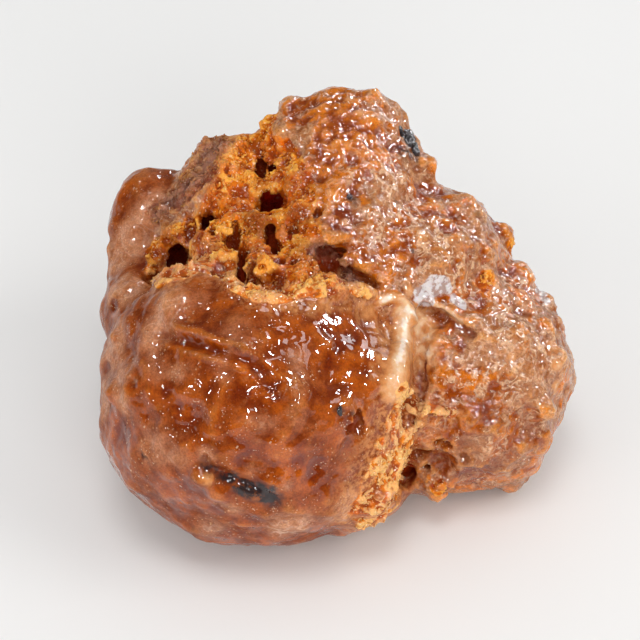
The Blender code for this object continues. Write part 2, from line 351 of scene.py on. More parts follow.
def spread(points, spots):
    """The sum of soft spots. A spot is its middle, its radius in mm and its value."""
    total = np.zeros(len(points))
    for centre, radius, value in spots:
        centre = np.array(centre)
        near = np.flatnonzero((np.abs(points - centre) < radius * MM).all(axis=1))
        total[near] += value * bell(np.linalg.norm(points[near] - centre, axis=1), radius * MM)
    return total


def spread_seen(points, places):
    """The sum of soft spots that are given by column, row, radius in mm and value."""
    return spread(points, [(seen_at(column, row)[0], *spot) for column, row, *spot in places])


def picture_of(points):
    """Columns and rows where the camera would see these points."""
    away = points - np.array(view_eye)
    ahead = away @ -np.array(view_back)
    columns = (0.5 + away[:, 0] / ahead * lens / sensor_width) * picture_size
    rows = (0.5 - away @ np.array(view_up) / ahead * lens / sensor_width) * picture_size
    return np.stack((columns, rows), axis=1)


def in_front(points):
    """True for points on the side of the piece that the camera sees."""
    return (points - np.array(view_target)) @ np.array(view_back) > front_reach


def off_line(places, start, end):
    """How far each place is from a straight line in the picture, in pixels."""
    start, end = np.array(start, float), np.array(end, float)
    share = np.clip((places - start) @ (end - start) / ((end - start) @ (end - start)), 0, 1)
    return np.linalg.norm(places - start - share[:, None] * (end - start), axis=1)


def along(points, run, width):
    """1 on a run of places in the picture, and 0 from width mm off it or behind the front."""
    places = picture_of(points)
    gap = np.min([off_line(places, start, end) for start, end in zip(run, run[1:])], axis=0)
    return bell(np.minimum(gap / pixels_per_mm, width), width) * in_front(points)


def strongest(points, runs):
    """The highest value of these runs at each point. A run is its places, its width and its value."""
    return np.max([value * along(points, run, width) for run, width, value in runs], axis=0)


# Where the crumb shows: the outline of the tear in the picture, then more places in it and around
# the far sides with a radius in mm, and runs along the torn rims with a width in mm
torn_outline = (
    (147, 252), (156, 238), (170, 226), (190, 224), (203, 206), (210, 182), (212, 152), (226, 138),
    (262, 132), (290, 140), (303, 160), (316, 186), (312, 214), (326, 240), (346, 262), (358, 286),
    (324, 293), (297, 294), (274, 301), (252, 297), (236, 289), (222, 276), (199, 265), (186, 274),
    (158, 285), (146, 272),
)
torn_places = ((440, 489, 1.3), (204, 152, 1.8), (268, 112, 1.6))
torn_around = (
    (150, 38, 3.0), (168, 22, 2.4), (196, 38, 2.6), (120, 12, 2.2), (222, 2, 2.2), (186, 8, 2.0),
    (95, 25, 1.8),
)
torn_runs = (
    (((160, 214), (178, 196), (194, 178), (205, 158), (216, 142)), 1.7),
    (((158, 281), (186, 271), (200, 263), (222, 273), (236, 286), (252, 294), (274, 298), (297, 291),
      (324, 290), (352, 286), (372, 296)), 0.95),
    (((410, 402), (404, 425), (396, 450), (384, 480), (369, 514)), 2.5),
    (((402, 414), (426, 409), (452, 412)), 0.7),
    (((268, 100), (265, 118), (266, 134)), 1.0),
)


def inside_outline(places, outline):
    """How far inside an outline each place is, in mm at the middle of the piece."""
    inside = np.zeros(len(places), bool)
    gap = np.full(len(places), np.inf)
    for start, end in zip(outline, outline[1:] + outline[:1]):
        start, end = np.array(start, float), np.array(end, float)
        crossed = (places[:, 1] < start[1]) != (places[:, 1] < end[1])
        slope = (end[0] - start[0]) / (end[1] - start[1] or 1)
        inside ^= crossed & (places[:, 0] < start[0] + slope * (places[:, 1] - start[1]))
        gap = np.minimum(gap, off_line(places, start, end))
    return np.where(inside, gap, -gap) / pixels_per_mm


def tear_of(points):
    """Above 0 where the crumb shows, and below it where the dough kept a glazed surface."""
    spots = [(seen_at(column, row)[0], radius, 1.5) for column, row, radius in torn_places]
    spots += [(met_from(azimuth, elevation)[0], radius, 1.3) for azimuth, elevation, radius in torn_around]
    tear = spread(points, spots)
    tear += in_front(points) * 1.5 * ramp(inside_outline(picture_of(points), torn_outline), -0.7, 0.9)
    ragged = 1.4 + 2.2 * waves(points, 1.3 * MM)
    for run, width in torn_runs:
        tear = np.maximum(tear, ragged * along(points, run, width))
    return np.minimum(tear, 1.4) - 0.55 + 0.45 * waves(points, 1.1 * MM)


# Clumps of crumb that stand up from the tear: column, row, radius in mm, and how many crumbs
clumps = (
    (213, 250, 1.15, 22), (222, 258, 0.8, 12), (206, 243, 0.8, 12), (232, 236, 0.9, 12),
    (236, 222, 0.8, 10), (266, 262, 0.55, 9), (270, 270, 0.5, 7), (300, 275, 1.2, 24),
    (288, 284, 0.9, 14), (318, 288, 0.8, 12), (342, 288, 0.8, 12), (226, 160, 0.9, 12),
    (283, 166, 0.9, 12), (247, 178, 0.6, 8), (243, 205, 0.6, 8), (188, 262, 0.5, 6),
    (166, 232, 0.6, 8), (155, 246, 0.7, 9), (152, 262, 0.6, 8), (196, 225, 0.6, 8),
    (266, 118, 0.6, 8), (212, 146, 0.8, 10), (197, 162, 0.8, 10), (424, 410, 0.6, 8),
    (440, 412, 0.5, 7), (404, 418, 0.7, 9), (408, 436, 0.7, 9), (398, 458, 0.7, 9),
    (388, 482, 0.7, 9), (374, 508, 0.6, 8), (440, 488, 0.8, 12), (452, 484, 0.6, 8),
    (350, 420, 0.35, 4), (421, 162, 0.35, 5), (165, 206, 0.7, 9), (178, 192, 0.8, 10),
    (190, 176, 0.8, 10), (205, 157, 0.9, 12), (222, 142, 0.8, 10), (416, 428, 0.6, 8),
    (412, 446, 0.6, 8), (404, 462, 0.6, 8), (396, 480, 0.6, 8), (382, 502, 0.6, 8),
)
stray_crumbs = 800
stray_pricks = 260
dice = random.Random(4)
heap = Heap()
for column, row, radius, count in clumps:
    point, normal = seen_at(column, row)
    for _ in range(count):
        away = Vector((dice.gauss(0, 1), dice.gauss(0, 1), dice.gauss(0, 1))).normalized()
        centre = point + away * radius * MM * dice.uniform(0.2, 1) + normal * 0.15 * radius * MM
        size = dice.uniform(0.26, 0.5) * MM
        turn = Euler([dice.uniform(0, math.tau) for _ in range(3)])
        heap.add_crumb(centre, size, turn)
points = points_of(dough.data)
normals = normals_of(dough.data)
tear_chances = np.clip(tear_of(points), 0, 0.6) * (points[:, 2] > MM)
tear_chances /= tear_chances.sum()
number_dice = np.random.default_rng(5)
for pick in number_dice.choice(len(points), stray_crumbs, p=tear_chances):
    size = dice.uniform(0.18, 0.45) * MM
    turn = Euler([dice.uniform(0, math.tau) for _ in range(3)])
    centre = points[pick] + normals[pick] * dice.uniform(-0.1, 0.35) * MM
    heap.add_crumb(centre, size, turn)
bm = bmesh.new()
bm.from_mesh(dough.data)
bm.from_mesh(heap.mesh("crumb_clumps"))
bpy.data.objects.remove(dough, do_unlink=True)
dough = mesh_object("fried_dough", bm)
remesh(dough, 0.28 * MM)
whole_tree = BVHTree.FromObject(dough, bpy.context.evaluated_depsgraph_get())

# Holes that the bubbles and the tear left: column, row, and half width, half height and depth in mm
holes = (
    (263, 169, 0.45, 0.4, 0.9), (269, 200, 1.6, 1.3, 4.6), (261, 206, 1.1, 1.0, 3.8),
    (282, 202, 0.8, 0.9, 2.8), (217, 211, 1.0, 0.8, 2.4), (205, 227, 0.7, 0.8, 2.4),
    (212, 234, 0.5, 0.5, 1.6), (183, 246, 0.9, 1.0, 3.2), (177, 256, 1.0, 1.0, 3.4),
    (187, 262, 0.7, 0.7, 2.6), (167, 268, 0.7, 0.6, 1.8), (190, 236, 0.6, 0.5, 1.8),
    (241, 256, 0.45, 1.1, 4.4), (241, 274, 0.55, 1.1, 4.6), (246, 285, 0.6, 0.6, 3.6),
    (234, 246, 0.4, 0.8, 2.6), (253, 270, 0.4, 1.0, 4.0), (273, 232, 0.8, 0.9, 0.9),
    (271, 247, 0.6, 1.1, 1.0), (279, 262, 0.5, 0.6, 2.2), (312, 253, 0.8, 0.35, 2.6),
    (326, 249, 0.9, 0.4, 2.0), (338, 246, 0.7, 0.4, 2.6), (330, 270, 0.9, 0.8, 0.8),
    (322, 264, 0.6, 0.5, 0.7), (345, 268, 0.7, 0.5, 1.4), (319, 212, 0.7, 0.45, 0.9),
    (292, 236, 0.5, 0.4, 1.2), (226, 176, 0.4, 0.3, 0.9), (240, 160, 0.35, 0.3, 0.8),
    (428, 307, 0.7, 0.35, 2.0), (416, 391, 0.32, 0.65, 1.6), (413, 411, 0.4, 0.3, 1.4),
    (407, 400, 0.25, 0.35, 1.0), (356, 424, 0.6, 0.55, 1.4), (362, 432, 0.5, 0.4, 1.0),
    (441, 446, 0.9, 0.55, 1.6), (424, 452, 0.7, 0.6, 1.8), (408, 472, 0.6, 0.5, 1.0),
    (398, 490, 0.5, 0.5, 0.9), (425, 470, 0.6, 0.5, 1.2), (462, 462, 0.6, 0.4, 0.9),
)
heap = Heap()
for column, row, wide, high, depth in holes:
    point, normal = seen_at(column, row)
    inward = (point - view_eye).normalized().lerp(-normal, 0.15).normalized()
    side = Vector((1, 0, 0))
    lift = inward.cross(side).normalized()
    turn = Matrix((inward.cross(lift).normalized(), lift, inward)).transposed().to_euler()
    rag = 0.8 * min(wide, high) * MM
    centre = point + inward * 0.2 * depth * MM
    heap.add(centre, Vector((wide, high, 0.8 * depth + 0.8)) * MM, turn, 5, rag, rag_size=0.8 * MM)
for pick in number_dice.choice(len(points), stray_pricks, p=tear_chances):
    size = dice.uniform(0.14, 0.45) * MM
    centre = points[pick] + normals[pick] * dice.uniform(-0.2, 0.3) * MM
    turn = Vector(normals[pick]).to_track_quat("Z", "Y").to_euler()
    heap.add(centre, Vector((1, 0.8, 1.8)) * size, turn, 3, rag=0.8 * size, rag_size=0.5 * MM)
hole_cutter = heap.piece("hole_cutter")
remesh(hole_cutter, 0.2 * MM)
cut = dough.modifiers.new("holes", "BOOLEAN")
cut.operation = "DIFFERENCE"
cut.solver = "MANIFOLD"
cut.object = hole_cutter
settle(dough)
bpy.data.objects.remove(hole_cutter, do_unlink=True)
remesh(dough, 0.25 * MM)


def skin_of(points):
    """1 on the smooth skin, 0 on the crags."""
    return ramp(lobe_gap(points, crag_lobes) - lobe_gap(points, smooth_lobes), -0.4 * MM, 0.8 * MM)


# Creases and folds of the skin, and the rims of the glaze: a run, its half width in mm, and its
# height in mm, below 0 for a crease. Then wider dips and swells: a place, its radius and its height.
folds = (
    (((163, 333), (190, 342), (217, 349), (237, 356), (256, 366), (272, 384)), 1.0, -0.55),
    (((178, 328), (198, 333), (222, 341), (242, 349)), 0.8, 0.35),
    (((196, 353), (222, 361), (244, 368)), 0.7, 0.22),
    (((151, 284), (156, 318), (158, 352), (163, 388), (172, 404)), 1.2, -0.18),
    (((120, 330), (131, 356), (136, 392), (150, 420)), 1.1, -0.3),
    (((204, 462), (224, 478), (250, 487), (276, 500)), 1.2, -0.75),
    (((214, 492), (240, 501), (266, 513)), 1.0, 0.4),
    (((198, 474), (208, 482)), 0.9, 0.5),
    (((282, 505), (310, 512), (338, 510)), 0.6, 0.25),
    (((240, 521), (275, 527), (315, 526), (345, 520)), 0.6, 0.25),
    (((225, 531), (262, 536), (300, 535)), 0.4, -0.2),
    (((421, 362), (421, 380), (420, 398)), 0.7, -0.5),
    (((384, 300), (398, 297), (409, 305), (410, 322)), 0.55, 0.45),
    (((406, 322), (404, 345), (400, 370), (393, 394)), 1.3, 0.4),
    (((425, 309), (448, 318), (470, 334)), 0.8, -0.7),
    (((432, 304), (452, 314), (466, 326)), 0.45, 0.3),
    (((300, 243), (324, 239), (347, 236)), 0.8, 0.45),
    (((420, 432), (415, 455), (404, 482)), 0.8, -0.5),
    (((345, 395), (330, 420), (300, 445), (270, 452)), 1.4, 0.2),
    (((290, 372), (300, 400), (285, 430)), 1.3, 0.25),
    (((225, 385), (214, 410), (216, 440)), 1.3, 0.3),
)
basins = (
    (185, 418, 2.4, -0.5), (262, 402, 2.2, -0.35), (228, 302, 2.0, -0.15), (320, 335, 2.4, 0.3),
    (355, 352, 2.0, 0.3), (345, 405, 1.6, 0.3), (316, 468, 1.6, -0.35), (355, 428, 1.6, -0.4),
    (140, 440, 3.0, 0.3), (120, 290, 2.4, 0.3), (113, 306, 1.0, -0.3), (130, 384, 0.9, -0.35),
    (104, 366, 1.2, -0.3), (141, 456, 0.6, -0.3), (215, 512, 1.4, -0.2), (330, 500, 2.6, 0.3),
    (500, 226, 1.2, 0.3), (536, 277, 1.3, 0.4), (548, 322, 1.4, 0.3), (440, 260, 2.0, 0.3),
    (422, 240, 1.2, 0.3), (349, 110, 2.0, 0.3), (540, 445, 2.2, 0.3), (437, 290, 1.8, 0.15),
    (288, 102, 1.6, 0.7), (376, 99, 1.8, 0.6), (421, 163, 0.7, 0.5),
)

# The glaze dried to a milky film, and wet amber windows are left in it: a place, a radius in mm
# and how much more film it has
film_places = (
    (258, 386, 3.4, -0.6), (240, 452, 3.4, -0.3), (152, 218, 4.2, 0.8), (126, 250, 3.4, 0.8),
    (125, 290, 3.4, 0.9), (252, 468, 1.6, 0.6), (288, 480, 1.6, 0.6), (296, 356, 2.2, 0.5),
    (168, 312, 3.6, 0.6), (205, 300, 2.2, 0.35), (150, 340, 3.6, 0.6), (110, 350, 3.4, 0.8),
    (104, 400, 3.0, 1.0), (112, 330, 3.0, 0.4), (118, 385, 3.0, 0.4), (124, 410, 2.4, 0.6),
    (180, 372, 2.0, 0.5), (180, 460, 1.8, 0.4), (160, 372, 2.4, 0.4), (255, 425, 2.4, 0.3),
    (150, 445, 4.0, 0.5), (120, 370, 3.2, 0.4), (215, 526, 3.6, 0.5), (285, 528, 4.2, 0.55),
    (340, 515, 2.4, 0.4), (150, 490, 2.6, 0.3), (350, 500, 2.4, 0.5), (340, 460, 2.0, 0.3),
    (232, 508, 2.2, 0.5), (208, 456, 1.6, 0.4), (230, 376, 2.0, 0.3), (290, 455, 3.0, -0.3),
    (230, 302, 2.2, -0.7), (216, 347, 1.3, -0.8), (240, 357, 1.3, -0.8), (190, 343, 1.0, -0.7),
    (285, 334, 2.4, -0.2), (320, 330, 2.8, -0.7), (345, 352, 3.2, -0.9), (270, 392, 2.2, -0.9),
    (300, 380, 2.0, 0.3), (185, 415, 2.0, -1.3), (200, 432, 1.4, -0.9), (165, 391, 1.1, -0.7),
    (216, 512, 1.2, -0.8), (318, 467, 1.2, -1.2), (356, 426, 1.6, -1.2), (290, 470, 1.0, -0.5),
    (114, 306, 1.1, -1.2), (104, 366, 0.9, -1.0), (131, 385, 0.9, -0.9), (143, 416, 0.7, -0.9),
    (496, 218, 3.0, -1.2), (535, 277, 1.3, -1.0), (546, 322, 1.3, -1.0), (480, 300, 0.8, -0.5),
    (420, 262, 1.3, -0.8), (448, 320, 1.3, -1.2), (420, 352, 2.0, -0.6), (402, 402, 1.4, -0.5),
    (440, 430, 2.2, -0.6), (500, 345, 3.6, 0.5), (540, 380, 3.0, 0.7), (545, 442, 1.4, -0.9),
    (480, 476, 2.0, -0.4), (340, 112, 3.4, -1.0), (330, 152, 3.0, -1.0), (362, 140, 3.4, -1.1),
    (340, 138, 3.6, -0.9), (382, 155, 2.6, -0.8), (352, 168, 2.4, -0.8), (300, 112, 2.8, -1.0),
    (330, 200, 2.6, -1.1), (336, 232, 2.2, -1.0), (318, 180, 2.2, -1.0), (500, 445, 2.6, -0.5),
    (450, 462, 2.2, -0.6), (395, 192, 2.4, 0.5), (424, 232, 2.0, 0.4), (445, 205, 1.8, 0.3),
    (375, 250, 1.6, -0.3), (470, 280, 2.4, 0.5), (186, 198, 2.2, 0.4), (460, 370, 2.2, 0.2),
)


def film_of(points):
    return spread_seen(points, film_places) + 0.5 * waves(points, 6 * MM)


points = points_of(dough.data)
normals = normals_of(dough.data)
torn = ramp(tear_of(points), -0.1, 0.25)
skin = skin_of(points) * (1 - torn)
crag = np.clip(1 - skin - torn, 0, 1)

# The relief in mm: lumps, beads and worms of dough on the crags, slow waves and fine wrinkles on the
# skin, and grains and pores in the crumb. It fades out where the piece rests.
near, second = cells(points, 2.1 * MM)
lumps = (0.5 - near) * ramp(second - near, 0, 0.4)
fine_near, fine_second = cells(points, 0.9 * MM)
beads = (0.45 - fine_near) * ramp(fine_second - fine_near, 0, 0.45)
uneven = 0.6 + 0.6 * waves(points, 5 * MM)
worms = 0.5 - np.abs(waves(points, 1.1 * MM)) * 2.4
crag_relief = uneven * (0.55 * lumps + 0.3 * beads) + 0.16 * worms + 0.35 * waves(points, 3.2 * MM)
crag_relief += 0.12 * waves(points, 1.1 * MM)
skin_relief = 0.32 * waves(points, 4.2 * MM) + 0.2 * waves(points, 1.7 * MM)
skin_relief += 0.07 * (0.4 - np.abs(waves(points, 1.2 * MM, (1.8, 1, 1)))) + 0.07 * waves(points, 0.7 * MM)
skin_relief += np.clip(0.3 - film_of(points), 0, 1) * 0.16 * waves(points, 1.1 * MM)
grain_near = cells(points, 0.6 * MM)[0]
pores = -ramp(waves(points, 0.9 * MM), 0.1, 0.5)
torn_relief = 0.2 * (0.5 - grain_near) + 0.2 * pores + 0.25 * waves(points, 1.5 * MM)
torn_relief += 0.15 * waves(points, 0.4 * MM)
relief = skin * skin_relief + crag * crag_relief + torn * torn_relief
for run, width, height in folds:
    relief += height * along(points, run, width) * (1 + 0.5 * waves(points, 1.3 * MM))
relief += spread_seen(points, basins)
on_floor = ramp(points[:, 2], 0.1 * MM, 1.2 * MM)
points += normals * (relief * MM * on_floor)[:, None]
points[:, 2] = np.maximum(points[:, 2], 0)
dough.data.vertices.foreach_set("co", points.astype(np.float32).ravel())
dough.data.update()
thin_out(dough, 190000)
drop_scraps(dough, 60)
dough.data.shade_smooth()

# The dough's finish, from values kept at its points: thick glaze with white flecks that are painted
# highlights, curls of dried glaze that are partly painted highlights, pools of grey white glaze with a
# painted reflection, rims pale with sugar, places of painted shade, dusky places, and the berries'
# stains. A place has a radius in mm and most a value. A run has a width in mm and a value, and the
# glaze's also how uneven it is.
# Thick white glaze, and white flecks that are painted highlights
glaze_and_highlight_places = (
    (409, 291, 0.8), (540, 291, 0.9), (553, 346, 0.9), (556, 365, 1.0), (557, 386, 0.9),
    (206, 478, 0.9), (512, 357, 0.6), (350, 99, 0.7), (361, 112, 0.7), (346, 222, 0.6),
)
# Curls of dried glaze, partly painted highlights where the wet glaze glints
frost_and_glint_places = (
    (262, 376, 2.0, 1.0), (284, 392, 1.8, 1.0), (300, 398, 1.2, 0.8), (320, 340, 2.6, 0.6),
    (345, 330, 1.8, 0.6), (210, 330, 1.4, 0.5), (196, 425, 1.8, 0.6), (240, 420, 1.4, 0.7),
    (250, 350, 1.0, 0.4), (368, 412, 1.6, 0.4), (300, 440, 1.4, 0.3), (352, 470, 1.8, 0.4),
    (395, 180, 3.4, 0.9), (420, 225, 3.2, 1.0), (445, 255, 3.2, 1.0), (470, 290, 3.4, 0.9),
    (500, 320, 3.6, 0.8), (520, 285, 3.0, 0.8), (370, 230, 2.4, 0.8), (350, 170, 1.6, 0.3),
    (360, 112, 1.4, 0.4), (352, 128, 3.4, -0.4), (498, 220, 3.0, -0.6), (470, 380, 3.0, 0.6),
    (430, 350, 2.2, 0.6), (510, 380, 2.8, 0.7), (545, 350, 2.8, 0.6), (500, 440, 3.0, 0.4),
    (440, 410, 2.0, 0.5), (540, 420, 2.4, 0.4),
)
# Runs of thick glaze. The last, weaker one is a painted highlight along the lit rim.
glaze_and_highlight_runs = (
    (((380, 301), (394, 297), (406, 302), (409, 318)), 0.7, 2.2, 0.6),
    (((404, 312), (405, 330), (402, 350), (397, 372), (392, 392)), 1.6, 1.9, 0.2),
    (((405, 320), (404, 340), (399, 362)), 0.7, 2.6, 0.3),
    (((432, 303), (450, 312), (462, 322)), 0.5, 1.8, 0.6),
    (((419, 316), (424, 338), (427, 358)), 2.0, 1.6, 0.9),
    (((290, 304), (320, 304), (350, 306), (374, 314), (384, 340), (380, 370)), 1.8, 0.6, 0.9),
)
# Pools of grey white glaze with a painted reflection
pool_and_reflection_runs = (
    (((422, 292), (434, 286), (446, 288)), 1.3, 1.3),
    (((416, 300), (430, 302)), 0.8, 1.2),
    (((452, 297), (460, 304)), 0.7, 1.3),
    (((540, 288), (546, 300)), 0.8, 0.9),
)
pale_runs = (
    (((406, 402), (400, 425), (392, 450), (380, 480), (366, 512)), 4.4, 1.0),
    (((402, 414), (426, 409), (452, 412)), 1.5, 1.0),
    (((158, 281), (186, 271), (200, 263), (222, 273), (236, 286), (252, 296), (274, 302), (297, 296),
      (324, 293), (352, 290), (372, 298)), 2.1, 0.65),
)
# Places of painted shade, darkened to a deep amber
painted_shade_places = (
    (430, 455, 3.0, 1.5), (470, 470, 3.2, 1.3), (450, 436, 2.6, 0.8), (505, 462, 2.8, 0.8),
    (415, 430, 1.6, 0.8), (480, 420, 3.4, 0.8), (520, 430, 3.0, 1.0), (500, 395, 3.4, 0.5),
    (545, 440, 2.4, 1.0), (412, 486, 2.0, 1.0), (200, 185, 2.4, 0.6), (345, 262, 1.8, 0.5),
    (225, 335, 2.0, 0.4), (190, 420, 2.2, 0.5), (262, 400, 2.0, 0.3), (330, 470, 1.6, 0.4),
    (356, 428, 1.6, 0.6), (317, 468, 1.3, 1.0), (230, 495, 2.4, 0.5), (300, 488, 2.4, 0.4),
    (275, 242, 1.8, 1.1), (262, 228, 1.4, 0.8), (300, 250, 2.0, 0.7), (240, 268, 1.6, 1.0),
    (181, 257, 2.8, 1.5), (326, 266, 2.0, 1.0), (217, 214, 1.4, 0.8), (205, 228, 1.2, 0.8),
    (260, 222, 2.4, 0.9), (300, 220, 2.4, 1.0), (340, 222, 2.4, 1.3), (375, 258, 2.2, 1.0),
    (310, 188, 2.0, 0.7), (240, 205, 1.6, 0.6), (262, 186, 1.7, 0.9), (176, 268, 1.8, 1.0),
    (345, 215, 2.0, 0.8), (500, 220, 2.8, 1.1), (345, 120, 2.6, 0.3), (385, 140, 2.4, 0.4),
    (196, 242, 1.4, 0.7), (250, 218, 1.6, 0.6), (340, 235, 2.0, 0.4),
)
dusk_runs = (
    (((156, 216), (178, 196), (194, 178), (205, 158), (216, 142)), 2.4, 1),
    (((316, 252), (334, 250), (346, 262), (352, 276)), 1.4, 1),
)
stain_runs = (
    (((206, 465), (222, 475), (242, 485)), 1.3, 0.9),
    (((230, 481), (250, 489), (272, 498)), 1.5, 1.5),
    (((113, 240), (115, 254)), 0.8, 0.5),
    (((476, 210), (485, 226)), 0.9, 0.6),
    (((338, 410), (350, 413)), 0.7, 0.7),
    (((348, 194), (353, 200)), 0.9, 0.8),
    (((178, 477), (180, 481)), 0.4, 1.2),
    (((400, 146), (414, 158)), 1.2, 0.8),
    (((360, 180), (372, 205)), 1.2, 0.5),
    (((196, 166), (214, 148)), 1.4, 0.45),
    (((410, 244), (412, 248)), 0.5, 1.0),
    (((143, 454), (144, 458)), 0.4, 1.1),
)

points = points_of(dough.data)
normals = normals_of(dough.data)
skin = skin_of(points)
tear = tear_of(points)
dough_tree = BVHTree.FromObject(dough, bpy.context.evaluated_depsgraph_get())
outward_rays = [Vector(ray).normalized() for ray in (
    (0, 0, 1), (0.8, 0, 0.6), (-0.8, 0, 0.6), (0, 0.8, 0.6), (0, -0.8, 0.6),
    (0.5, 0.5, 0.7), (-0.5, 0.5, 0.7), (0.5, -0.5, 0.7), (-0.5, -0.5, 0.7))]


def openness(points, normals, reach):
    """The share of directions in which a point sees past reach without meeting dough."""
    shares = []
    for p, n in zip(points.tolist(), normals.tolist()):
        normal = Vector(n)
        turn = normal.to_track_quat("Z", "Y")
        start = Vector(p) + normal * 0.05 * MM
        free = sum(dough_tree.ray_cast(start, turn @ ray, reach)[0] is None for ray in outward_rays)
        shares.append(free / len(outward_rays))
    return np.array(shares)


def depth_under(points, tree):
    """How far each point lies under a surface, in mm."""
    depths = []
    for p in points.tolist():
        place, normal, _, gap = tree.find_nearest(Vector(p))
        depths.append(gap / MM if (Vector(p) - place).dot(normal) < 0 else 0)
    return np.array(depths)


def evened(mesh, points, rounds):
    """Where a mesh's points go when each moves to the middle of its neighbours, round after round."""
    flat = np.empty(len(mesh.edges) * 2, np.int32)
    mesh.edges.foreach_get("vertices", flat)
    ends = np.concatenate((flat[0::2], flat[1::2]))
    others = np.concatenate((flat[1::2], flat[0::2]))
    counts = np.maximum(np.bincount(ends, minlength=len(points)), 1)
    for _ in range(rounds):
        sums = [np.bincount(ends, points[others, axis], len(points)) for axis in range(3)]
        points = np.array(sums).T / counts[:, None]
    return points


def bulge_of(mesh, points, normals, rounds):
    """How far each point stands out of its surroundings, in mm. Below 0 it lies in a dip."""
    return ((points - evened(mesh, points, rounds)) * normals).sum(axis=1) / MM


def keep_values(mesh, name, values):
    layer = mesh.attributes.new(name, "FLOAT", "POINT")
    layer.data.foreach_set("value", np.asarray(values, np.float32))


open_share = openness(points, normals, 3.0 * MM)
depth = depth_under(points, whole_tree)
glaze = spread_seen(points, [(*place, 1.5) for place in glaze_and_highlight_places])
for run, width, strength, uneven in glaze_and_highlight_runs:
    glaze = np.maximum(glaze, strength * along(points, run, width) * (1 + uneven * waves(points, 0.8 * MM)))
shifts = [waves(points[:, turned], 1.2 * MM) for turned in ((0, 1, 2), (1, 2, 0), (2, 0, 1))]
shifted = points + 0.5 * MM * np.stack(shifts, axis=1)
frost_and_glints = spread_seen(points, frost_and_glint_places)
frost_and_glints = frost_and_glints * (1 - 0.7 * skin) + 0.45 * (1 - skin)
painted_shade_share = spread_seen(points, painted_shade_places)
dusk = strongest(shifted, dusk_runs)
pale_share = strongest(shifted, pale_runs)
kept_values = {
    "skin": skin, "tear": tear, "open": open_share, "depth": depth, "film": film_of(points),
    "glaze": glaze, "pool_and_reflection": strongest(shifted, pool_and_reflection_runs), "frost_and_glints": frost_and_glints,
    "stain": strongest(shifted, stain_runs), "bulge": bulge_of(dough.data, points, normals, 10),
    "dusk": dusk, "pale": pale_share, "painted_shade": painted_shade_share,
}
for name, values in kept_values.items():
    keep_values(dough.data, name, values)


def paint(red, green, blue):
    """A colour from its red, green and blue on the scale of 0 to 255 that screens use."""
    linear = [c / 3294.6 if c < 10 else ((c / 255 + 0.055) / 1.055) ** 2.4 for c in (red, green, blue)]
    return (*linear, 1)


def feed(tree, socket, value):
    if isinstance(value, bpy.types.NodeSocket):
        tree.links.new(value, socket)
    else:
        socket.default_value = value


def calculate(tree, operation, first, second=0.0):
    step = tree.nodes.new("ShaderNodeMath")
    step.operation = operation
    feed(tree, step.inputs[0], first)
    feed(tree, step.inputs[1], second)
    return step.outputs[0]


def times(tree, first, second):
    return calculate(tree, "MULTIPLY", first, second)


def plus(tree, first, second):
    return calculate(tree, "ADD", first, second)


def ramped(tree, value, low, high, to_low=0.0, to_high=1.0):
    step = tree.nodes.new("ShaderNodeMapRange")
    step.interpolation_type = "SMOOTHSTEP"
    sockets = ("Value", "From Min", "From Max", "To Min", "To Max")
    for key, number in zip(sockets, (value, low, high, to_low, to_high)):
        feed(tree, step.inputs[key], number)
    return step.outputs["Result"]


def mix_colour(tree, share, first, second):
    mix = tree.nodes.new("ShaderNodeMix")
    mix.data_type = "RGBA"
    for socket, value in ((mix.inputs[0], share), (mix.inputs[6], first), (mix.inputs[7], second)):
        feed(tree, socket, value)
    return mix.outputs[2]


def mix_number(tree, share, first, second):
    mix = tree.nodes.new("ShaderNodeMix")
    for socket, value in ((mix.inputs[0], share), (mix.inputs[2], first), (mix.inputs[3], second)):
        feed(tree, socket, value)
    return mix.outputs[0]


def grain(tree, size, detail=2.0, roughness=0.5, distortion=0.0):
    """Noise over the piece's own place, with features of that size in mm."""
    place = tree.nodes.new("ShaderNodeTexCoord")
    pattern = tree.nodes.new("ShaderNodeTexNoise")
    tree.links.new(place.outputs["Object"], pattern.inputs["Vector"])
    sockets = ("Scale", "Detail", "Roughness", "Distortion")
    for key, number in zip(sockets, (1 / MM / size, detail, roughness, distortion)):
        pattern.inputs[key].default_value = number
    return pattern.outputs["Fac"]


def kept(tree, name):
    """A value that is kept at the mesh's points."""
    value = tree.nodes.new("ShaderNodeAttribute")
    value.attribute_name = name
    return value.outputs["Fac"]


def scaled(tree, colour, factor):
    step = tree.nodes.new("ShaderNodeVectorMath")
    step.operation = "SCALE"
    feed(tree, step.inputs[0], colour)
    feed(tree, step.inputs["Scale"], factor)
    return step.outputs[0]


def new_effect(name, inputs, colours):
    """An empty node group with numbers in and colours out, and the sockets at its two ends."""
    group = bpy.data.node_groups.new(name, "ShaderNodeTree")
    for key, value in inputs.items():
        group.interface.new_socket(key, in_out="INPUT", socket_type="NodeSocketFloat").default_value = value
    for key in colours:
        group.interface.new_socket(key, in_out="OUTPUT", socket_type="NodeSocketColor")
    return group, group.nodes.new("NodeGroupInput").outputs, group.nodes.new("NodeGroupOutput").inputs


def place_effect(tree, group, **values):
    """Puts a group in a material with its own values, and gives its outputs."""
    placed = tree.nodes.new("ShaderNodeGroup")
    placed.node_tree = group
    for key, value in values.items():
        feed(tree, placed.inputs[key], value)
    return placed.outputs


def add_bump(tree, height, *sockets):
    """Tilts the shader's surface, its coat or both by a height in mm."""
    bump = tree.nodes.new("ShaderNodeBump")
    bump.inputs["Distance"].default_value = MM
    tree.links.new(height, bump.inputs["Height"])
    for key in sockets:
        tree.links.new(bump.outputs["Normal"], tree.nodes["Principled BSDF"].inputs[key])
